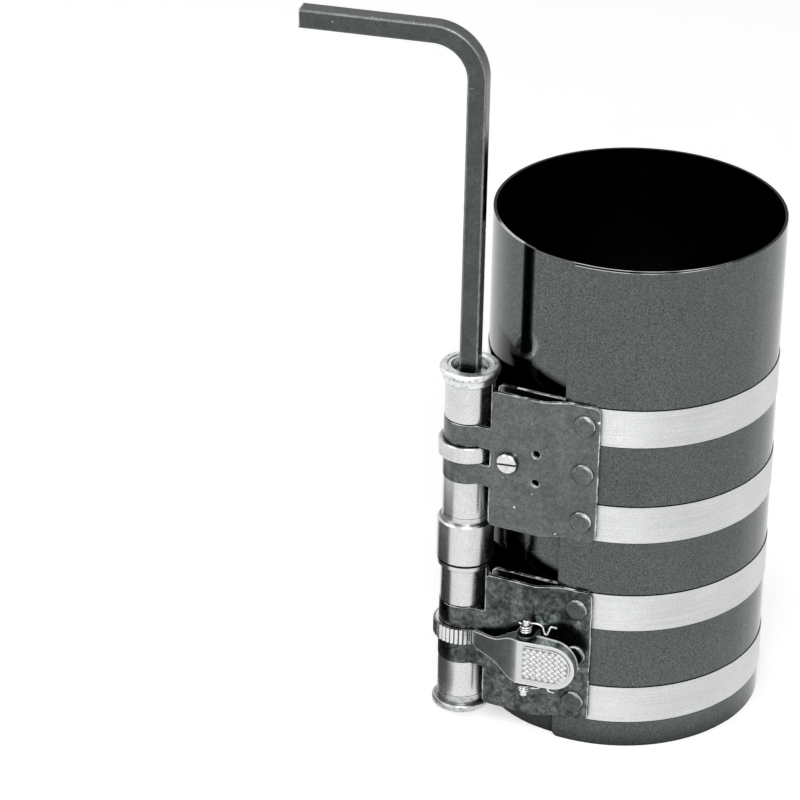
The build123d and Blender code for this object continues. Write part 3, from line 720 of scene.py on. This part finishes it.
class Growth:
    """Geometry Nodes tree with named inputs, turned into a plain mesh once it has grown."""

    def __init__(self, name, inputs):
        self.tree = bpy.data.node_groups.new(name, "GeometryNodeTree")
        self.identifiers = {}
        self.defaults = inputs
        for label, (value, unit) in inputs.items():
            kind = "NodeSocketInt" if isinstance(value, int) else "NodeSocketFloat"
            socket = self.tree.interface.new_socket(label, in_out="INPUT", socket_type=kind)
            if unit:
                socket.subtype = unit
            self.identifiers[label] = socket.identifier
        self.tree.interface.new_socket("Geometry", in_out="OUTPUT", socket_type="NodeSocketGeometry")
        self.given = self.add("NodeGroupInput").outputs

    def add(self, kind, links=(), **settings):
        node = self.tree.nodes.new(kind)
        for key, value in settings.items():
            setattr(node, key, value)
        for target, value in dict(links).items():
            self.put(node.inputs[target], value)
        return node

    def put(self, target, value):
        if isinstance(value, bpy.types.NodeSocket):
            self.tree.links.new(value, target)
        else:
            target.default_value = value

    def math(self, operation, a, b=0.0):
        return self.add("ShaderNodeMath", {0: a, 1: b}, operation=operation).outputs[0]

    def times(self, a, b):
        return self.math("MULTIPLY", a, b)

    def plus(self, a, b):
        return self.math("ADD", a, b)

    def minus(self, a, b):
        return self.math("SUBTRACT", a, b)

    def store(self, geometry, name, value, kind):
        """Geometry with a value kept on each point, under a name."""
        named = {"Geometry": geometry, "Name": name}
        node = self.add("GeometryNodeStoreNamedAttribute", named, data_type=kind)
        self.put(node.inputs["Value"], value)
        return node.outputs[0]

    def stored(self, name, kind):
        node = self.add("GeometryNodeInputNamedAttribute", {"Name": name}, data_type=kind)
        return node.outputs["Attribute"]

    def grow(self, geometry, material, body):
        """End the tree in Realize Instances and Set Material, and return the finished piece."""
        real = self.add("GeometryNodeRealizeInstances", {"Geometry": geometry})
        painted = self.add("GeometryNodeSetMaterial", {"Geometry": real.outputs[0], "Material": material})
        output = self.add("NodeGroupOutput")
        self.put(output.inputs[0], painted.outputs[0])
        name = self.tree.name
        carrier = bpy.data.objects.new(name, bpy.data.meshes.new(name))
        bpy.context.scene.collection.objects.link(carrier)
        modifier = carrier.modifiers.new(name, "NODES")
        modifier.node_group = self.tree
        for label, (value, _) in self.defaults.items():
            modifier[self.identifiers[label]] = value
        depsgraph = bpy.context.evaluated_depsgraph_get()
        grown = bpy.data.meshes.new_from_object(carrier.evaluated_get(depsgraph))
        carrier.modifiers.remove(modifier)
        carrier.data = grown
        grown.name = name
        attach(carrier, body)
        return carrier


# Limits and slider of each setting that is a share
SHARE = {"min": 0.0, "max": 1.0, "subtype": "FACTOR"}


class StageSettings(bpy.types.PropertyGroup):
    """Studio round the object."""

    lens: bpy.props.FloatProperty(
        name="Lens",
        description="Focal length that frames the photograph",
        default=182.66,
        min=20.0,
        unit="CAMERA",
    )
    roll: bpy.props.FloatProperty(
        name="Roll", description="Camera's turn about its own view", default=radians(1.22), unit="ROTATION"
    )
    floor_tone: bpy.props.FloatProperty(
        name="Floor tone", description="Pale floor's reflectance", default=0.8, **SHARE
    )
    floor_lift: bpy.props.FloatProperty(
        name="Floor lift", description="White added to the floor for the camera only", default=0.5, min=0.0
    )


class SheetSettings(bpy.types.PropertyGroup):
    """Finish of the blued sheet."""

    reflectance: bpy.props.FloatProperty(
        name="Reflectance", description="Share of light the blued sheet mirrors", default=0.118, **SHARE
    )
    roughness: bpy.props.FloatProperty(
        name="Roughness", description="Softness of the sheet's reflections", default=0.11, **SHARE
    )


class CoilSettings(bpy.types.PropertyGroup):
    """Turns of band on the spindle."""

    turns: bpy.props.IntProperty(name="Turns", description="Turns of band on the spindle", default=5, min=1)
    strip: bpy.props.FloatProperty(
        name="Strip", description="Thickness of the band", default=0.00019, unit="LENGTH"
    )


class PlateSettings(bpy.types.PropertyGroup):
    """Finish of the oxide-blackened plates."""

    upper_tone: bpy.props.FloatProperty(
        name="Upper tone", description="Brightness of the upper plate's oxide", default=0.15, **SHARE
    )
    lower_tone: bpy.props.FloatProperty(
        name="Lower tone", description="Brightness of the lower plate's oxide", default=0.1, **SHARE
    )


class SpindleSettings(bpy.types.PropertyGroup):
    """Finish of the turned pieces."""

    turned_tone: bpy.props.FloatProperty(
        name="Turned tone", description="Brightness of sleeve, rings and coils", default=0.74, **SHARE
    )
    bush_tone: bpy.props.FloatProperty(
        name="Bush tone", description="Brightness of the flanged bush", default=0.92, **SHARE
    )
    cap_tone: bpy.props.FloatProperty(
        name="Cap tone", description="Brightness of the lower cap", default=0.62, **SHARE
    )
    wheel_tone: bpy.props.FloatProperty(
        name="Wheel tone", description="Brightness of the ratchet's tooth tops", default=0.85, **SHARE
    )


class LeverSettings(bpy.types.PropertyGroup):
    """Finish and knurl of the lever's pad, and the wire of its springs."""

    arm_tone: bpy.props.FloatProperty(
        name="Arm tone", description="Brightness of the lever's dull arm", default=0.15, **SHARE
    )
    pad_tone: bpy.props.FloatProperty(
        name="Pad tone", description="Brightness of the rubbed pad", default=0.72, **SHARE
    )
    skirt_tone: bpy.props.FloatProperty(
        name="Skirt tone", description="Brightness of the lever's turned-back skirt", default=0.3, **SHARE
    )
    knurl_pitch: bpy.props.FloatProperty(
        name="Knurl pitch", description="Distance between diamonds in a row", default=0.0018, unit="LENGTH"
    )
    knurl_height: bpy.props.FloatProperty(
        name="Knurl height", description="How far the diamonds stand out", default=0.00028, unit="LENGTH"
    )
    knurl_start: bpy.props.FloatProperty(
        name="Knurl start", description="Plain strip before the knurl", default=0.0026, unit="LENGTH"
    )
    knurl_rim: bpy.props.FloatProperty(
        name="Knurl rim", description="Plain rim round the knurl", default=0.0021, unit="LENGTH"
    )
    wire: bpy.props.FloatProperty(
        name="Wire", description="Radius of the spring wire", default=0.00036, unit="LENGTH"
    )


class KeySettings(bpy.types.PropertyGroup):
    """Finish of the square key."""

    tone: bpy.props.FloatProperty(
        name="Tone", description="Brightness of the key's oxide", default=0.092, **SHARE
    )
    edge: bpy.props.FloatProperty(
        name="Worn edge", description="Width of the key's worn edges", default=0.0008, unit="LENGTH"
    )


class COMPRESSOR_OT_stage(bpy.types.Operator):
    """Make the camera, floor, white world, lamps and dark card"""

    bl_idname = "compressor.stage"
    bl_label = "Studio"

    def execute(self, context):
        settings = context.scene.compressor_stage
        photo_camera(settings.lens, settings.roll)
        context.scene.view_settings.view_transform = "Standard"
        pale_floor(settings.floor_tone, settings.floor_lift)
        white_world()
        for name, (place, size, power) in LAMPS.items():
            area_light(name, place, size, power)
        spindle = middle_of("bottom_end_cap")
        dark_card(Vector((spindle.x, spindle.y, 0)), -LEVEL_RIGHT)
        return {"FINISHED"}


class COMPRESSOR_OT_sheet(bpy.types.Operator):
    """Finish the wound sheet"""

    bl_idname = "compressor.sheet"
    bl_label = "Blued sheet"

    def execute(self, context):
        settings = context.scene.compressor_sheet
        dress(["wrap_sheet"], blued_sheet(settings.reflectance, settings.roughness))
        return {"FINISHED"}


class COMPRESSOR_OT_bands(bpy.types.Operator):
    """Finish the tension bands and wind their turns on the spindle"""

    bl_idname = "compressor.bands"
    bl_label = "Bands"

    def execute(self, context):
        settings = context.scene.compressor_coils
        dress([f"tension_band_{number}" for number in BANDS], band_steel())
        finish = turned_steel("wound band turns", context.scene.compressor_spindle.turned_tone, 0.27)
        for number in BANDS:
            wound_coil(number, settings.turns, settings.strip, finish)
        return {"FINISHED"}


def wound_coil(number, turns, strip, finish):
    """Turns of flat strip wound clockwise round the spindle, in place of the plain ring."""
    node = f"band_coil_{number}"
    low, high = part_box(node)
    shaft_low, shaft_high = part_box("spindle_shaft")
    inner = (shaft_high.x - shaft_low.x) / 2
    outer = (high.x - low.x) / 2
    g = Growth(
        f"wound_coil_{number}",
        {
            "Turns": (turns, None),
            "Inner radius": (inner + strip, "DISTANCE"),
            "Outer radius": (outer - strip / 2, "DISTANCE"),
            "Strip": (strip, "DISTANCE"),
            "Width": (high.z - low.z, "DISTANCE"),
        },
    )
    given = g.given
    spiral = g.add(
        "GeometryNodeCurveSpiral",
        {
            "Resolution": 96,
            "Rotations": given["Turns"],
            "Start Radius": given["Inner radius"],
            "End Radius": given["Outer radius"],
            "Height": 0.0,
        },
    )
    section = g.add(
        "GeometryNodeCurvePrimitiveQuadrilateral", {"Width": given["Strip"], "Height": given["Width"]}
    )
    upright = g.add("GeometryNodeSetCurveNormal", {"Curve": spiral.outputs[0]}, mode="Z_UP")
    strip_mesh = g.add(
        "GeometryNodeCurveToMesh",
        {"Curve": upright.outputs[0], "Profile Curve": section.outputs[0], "Fill Caps": True},
    )
    placed = g.add(
        "GeometryNodeTransform", {"Geometry": strip_mesh.outputs[0], "Translation": (low + high) / 2}
    )
    coil = g.grow(placed.outputs[0], finish, "spindle")
    coil.data.shade_smooth()
    coil.data.set_sharp_from_angle(angle=radians(35))
    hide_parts(node)


class COMPRESSOR_OT_plates(bpy.types.Operator):
    """Finish the folded plates, their rivets and the lever's bracket"""

    bl_idname = "compressor.plates"
    bl_label = "Plates"

    def execute(self, context):
        settings = context.scene.compressor_plates
        upper, lower = settings.upper_tone, settings.lower_tone
        # rubbed sets the least of a painted highlight on cut walls facing up and right
        rivet = {"edge": 0.0002, "rubbed": 0.5}
        mottled = oxide_steel("oxide lower plate", lower, 0.9, pits=0.9, mottle=0.42, rubbed=0.06)
        dress(["upper_plate"], oxide_steel("oxide upper plate", upper, 0.95, pits=0.9, rubbed=0.3))
        dress(["lower_plate"], mottled)
        dress(["upper_rivets"], oxide_steel("oxide upper rivets", upper * 0.9, 0.9, **rivet))
        dress(["lower_rivets"], oxide_steel("oxide lower rivets", lower * 0.9, 0.9, **rivet))
        dress(["lever_bracket", "bracket_rivets"], oxide_steel("oxide bracket", lower * 0.5, 0.5))
        return {"FINISHED"}


class COMPRESSOR_OT_spindle(bpy.types.Operator):
    """Finish the turned pieces on the spindle"""

    bl_idname = "compressor.spindle"
    bl_label = "Spindle pieces"

    def execute(self, context):
        settings = context.scene.compressor_spindle
        turned = turned_steel("turned steel", settings.turned_tone)
        dress(["centre_sleeve", "sleeve_washer", "spacer_ring"], turned)
        dress(["ratchet_wheel"], wheel_steel(settings.wheel_tone))
        scored = scored_steel("scored bush steel", settings.bush_tone, 0.34)
        dress(["spindle_shaft", "top_flange_bush"], scored)
        dress(["bottom_end_cap"], scored_steel("dull cap steel", settings.cap_tone, 0.3))
        return {"FINISHED"}


class COMPRESSOR_OT_lever(bpy.types.Operator):
    """Finish the lever, knurl its pad, and make its springs"""

    bl_idname = "compressor.lever"
    bl_label = "Lever and fastenings"

    def execute(self, context):
        settings = context.scene.compressor_lever
        pressed = lever_steel(settings.arm_tone, settings.pad_tone, settings.skirt_tone)
        dress(["release_lever"], pressed)
        small = plated_steel("plated small parts")
        dress(["lever_pivot_pin", "clamp_screw", "clamp_nut"], small)
        pad_knurl(settings, plated_steel("rubbed knurl", 0.7, 0.34))
        torsion_springs(settings.wire, small)
        return {"FINISHED"}


def pad_knurl(settings, finish):
    """Staggered rows of low diamonds, set on the face of the lever's pad."""
    low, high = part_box("release_lever")
    g = Growth(
        "pad_knurl",
        {
            "Start": (lever_crest() + settings.knurl_start, "DISTANCE"),
            "End": (high.x, "DISTANCE"),
            "Middle": ((low.z + high.z) / 2, "DISTANCE"),
            "Half height": (lever_half_height(), "DISTANCE"),
            "Rim": (settings.knurl_rim, "DISTANCE"),
            "Pitch": (settings.knurl_pitch, "DISTANCE"),
            "Height": (settings.knurl_height, "DISTANCE"),
        },
    )
    start, end, middle, half, rim, pitch, height = list(g.given)[:7]
    rows = knurl_rows(g, start, end, middle, half, pitch, low.y - KNURL_STANDOFF)
    lever = g.add("GeometryNodeObjectInfo", {"Object": nodes["release_lever"]}, transform_space="RELATIVE")
    ray = g.add(
        "GeometryNodeRaycast", {"Target Geometry": lever.outputs["Geometry"], "Ray Direction": (0, 1, 0)}
    ).outputs
    at = g.add("ShaderNodeSeparateXYZ", {0: g.add("GeometryNodeInputPosition").outputs[0]}).outputs
    past_end = g.math("MAXIMUM", g.minus(at["X"], g.minus(end, half)), 0.0)
    off_middle = g.minus(at["Z"], middle)
    spine = g.math("SQRT", g.plus(g.times(past_end, past_end), g.times(off_middle, off_middle)))
    outside = g.math("GREATER_THAN", spine, g.minus(half, rim))
    missed = g.math("MAXIMUM", outside, g.minus(1.0, ray["Is Hit"]))
    aligned = g.add("FunctionNodeAlignRotationToVector", {"Vector": ray["Hit Normal"]}, axis="Z")
    marked = g.store(rows, "facing", aligned.outputs[0], "QUATERNION")
    marked = g.store(marked, "missed", missed, "FLOAT")
    seated = g.add("GeometryNodeSetPosition", {"Geometry": marked, "Position": ray["Hit Position"]})
    kept = g.add(
        "GeometryNodeDeleteGeometry",
        {"Geometry": seated.outputs[0], "Selection": g.stored("missed", "FLOAT")},
    )
    diamond = g.add(
        "GeometryNodeMeshCone",
        {
            "Vertices": 4,
            "Side Segments": 1,
            "Fill Segments": 1,
            "Radius Top": 0.0,
            "Radius Bottom": g.times(pitch, DIAMOND_SHARE),
            "Depth": height,
        },
    )
    planted = g.add(
        "GeometryNodeInstanceOnPoints",
        {
            "Points": kept.outputs[0],
            "Instance": diamond.outputs["Mesh"],
            "Rotation": g.stored("facing", "QUATERNION"),
        },
    )
    g.grow(planted.outputs[0], finish, "lever")


def knurl_rows(g, start, end, middle, half, pitch, y):
    """Two grids of points in front of the pad, half a pitch apart."""
    length = g.minus(end, start)
    width = g.times(half, 2.0)
    rows = g.add("GeometryNodeJoinGeometry")
    for share in (0.0, 0.5):
        grid = g.add("GeometryNodeMeshGrid", {"Size X": length, "Size Y": width})
        for axis, size in (("Vertices X", length), ("Vertices Y", width)):
            g.put(grid.inputs[axis], g.plus(g.math("DIVIDE", size, pitch), 1.0))
        shift = g.times(pitch, share)
        centre = g.plus(g.times(g.plus(start, end), 0.5), shift)
        place = g.add("ShaderNodeCombineXYZ", {"X": centre, "Y": y, "Z": g.plus(middle, shift)})
        stood = g.add(
            "GeometryNodeTransform",
            {"Geometry": grid.outputs[0], "Rotation": (pi / 2, 0, 0), "Translation": place.outputs[0]},
        )
        g.put(rows.inputs[0], stood.outputs[0])
    return rows.outputs[0]


def torsion_springs(wire, finish):
    """Both springs on the lever's pin: a heel on the plate, three turns, and a leg behind the skirt."""
    low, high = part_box("lever_springs")
    pin = middle_of("lever_pivot_pin")
    points = spring_path(wire, low, high, pin)
    corners, faces = [], []
    for side in (1, -1):
        path = [(x, y, pin.z + side * (z - pin.z)) for x, y, z in points]
        mesh = bent_wire(wire, path)
        first = len(corners)
        corners += [vertex.co.copy() for vertex in mesh.vertices]
        faces += [[first + index for index in polygon.vertices] for polygon in mesh.polygons]
    joined = bpy.data.meshes.new("torsion_springs")
    joined.from_pydata(corners, [], faces)
    joined.materials.append(finish)
    joined.shade_smooth()
    springs = bpy.data.objects.new("torsion_springs", joined)
    bpy.context.scene.collection.objects.link(springs)
    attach(springs, nodes["lever_springs"]["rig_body"])
    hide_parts("lever_springs")


def spring_path(wire, low, high, pin):
    """Points along the upper spring, from its heel to the end of its leg."""
    pin_low, pin_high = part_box("lever_pivot_pin")
    radius = (pin_high.x - pin_low.x) / 2 + PIN_ROOM * wire
    top = high.z - wire
    rise = TURN_RISE * wire
    first_z = top - SPRING_TURNS * rise
    plate_y = high.y - wire
    leg_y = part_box("release_lever")[0].y + LEG_DEPTH
    points = [(low.x + wire, plate_y, first_z), (low.x + HEEL, plate_y, first_z)]
    for step in range(SPRING_TURNS * TURN_POINTS + 1):
        turn = step / TURN_POINTS
        angle = pi / 2 + 2 * pi * turn
        points.append((pin.x + radius * cos(angle), pin.y + radius * sin(angle), first_z + rise * turn))
    points += [(pin.x + along, leg_y, top + up) for along, up in LEG]
    points.append((high.x - wire / 2, leg_y, top))
    return points


def bent_wire(wire, points):
    """Mesh of a round wire along a smooth path through points."""
    curve = bpy.data.curves.new("spring_wire", "CURVE")
    curve.dimensions = "3D"
    curve.bevel_depth = wire
    curve.bevel_resolution = 2
    curve.resolution_u = 5
    curve.use_fill_caps = True
    spline = curve.splines.new("NURBS")
    spline.points.add(len(points) - 1)
    for point, place in zip(spline.points, points):
        point.co = (*place, 1)
    spline.order_u = 3
    spline.use_endpoint_u = True
    carrier = bpy.data.objects.new("spring_wire", curve)
    bpy.context.scene.collection.objects.link(carrier)
    depsgraph = bpy.context.evaluated_depsgraph_get()
    mesh = bpy.data.meshes.new_from_object(carrier.evaluated_get(depsgraph))
    bpy.data.objects.remove(carrier)
    return mesh


class COMPRESSOR_OT_key(bpy.types.Operator):
    """Finish the square key"""

    bl_idname = "compressor.key"
    bl_label = "Square key"

    def execute(self, context):
        settings = context.scene.compressor_key
        # the face turned away from the arm is painted nearly black as painted shade
        arm_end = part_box("square_key")[0]
        shaft = middle_of("spindle_shaft")
        painted_dark_side = Vector((shaft.x - arm_end.x, shaft.y - arm_end.y, 0)).normalized()
        wear = {"edge": settings.edge, "wear": 0.65, "pits": 0.8}
        finish = oxide_steel("oxide key", settings.tone, 1.0, 0.25, mottle=0.08, shaded=painted_dark_side, **wear)
        dress(["square_key"], finish)
        return {"FINISHED"}


OPERATORS = (
    COMPRESSOR_OT_stage,
    COMPRESSOR_OT_sheet,
    COMPRESSOR_OT_bands,
    COMPRESSOR_OT_plates,
    COMPRESSOR_OT_spindle,
    COMPRESSOR_OT_lever,
    COMPRESSOR_OT_key,
)

SETTINGS = {
    "compressor_stage": StageSettings,
    "compressor_sheet": SheetSettings,
    "compressor_coils": CoilSettings,
    "compressor_plates": PlateSettings,
    "compressor_spindle": SpindleSettings,
    "compressor_lever": LeverSettings,
    "compressor_key": KeySettings,
}


class COMPRESSOR_PT_panel(bpy.types.Panel):
    """Lists the pieces and the studio."""

    bl_label = "Compressor"
    bl_space_type = "VIEW_3D"
    bl_region_type = "UI"
    bl_category = "Compressor"

    def draw(self, context):
        for operator in OPERATORS:
            self.layout.operator(operator.bl_idname)
        for holder, group in SETTINGS.items():
            box = self.layout.box()
            for name in group.__annotations__:
                box.prop(getattr(context.scene, holder), name)


CLASSES = (*SETTINGS.values(), *OPERATORS, COMPRESSOR_PT_panel)


def register():
    for kind in CLASSES:
        bpy.utils.register_class(kind)
    for holder, group in SETTINGS.items():
        setattr(bpy.types.Scene, holder, bpy.props.PointerProperty(type=group))


def unregister():
    for holder in SETTINGS:
        delattr(bpy.types.Scene, holder)
    for kind in reversed(CLASSES):
        bpy.utils.unregister_class(kind)


def main():
    register()
    bpy.ops.compressor.stage()
    bpy.ops.compressor.sheet()
    bpy.ops.compressor.bands()
    bpy.ops.compressor.plates()
    bpy.ops.compressor.spindle()
    bpy.ops.compressor.lever()
    bpy.ops.compressor.key()


if __name__ == "__main__":
    main()
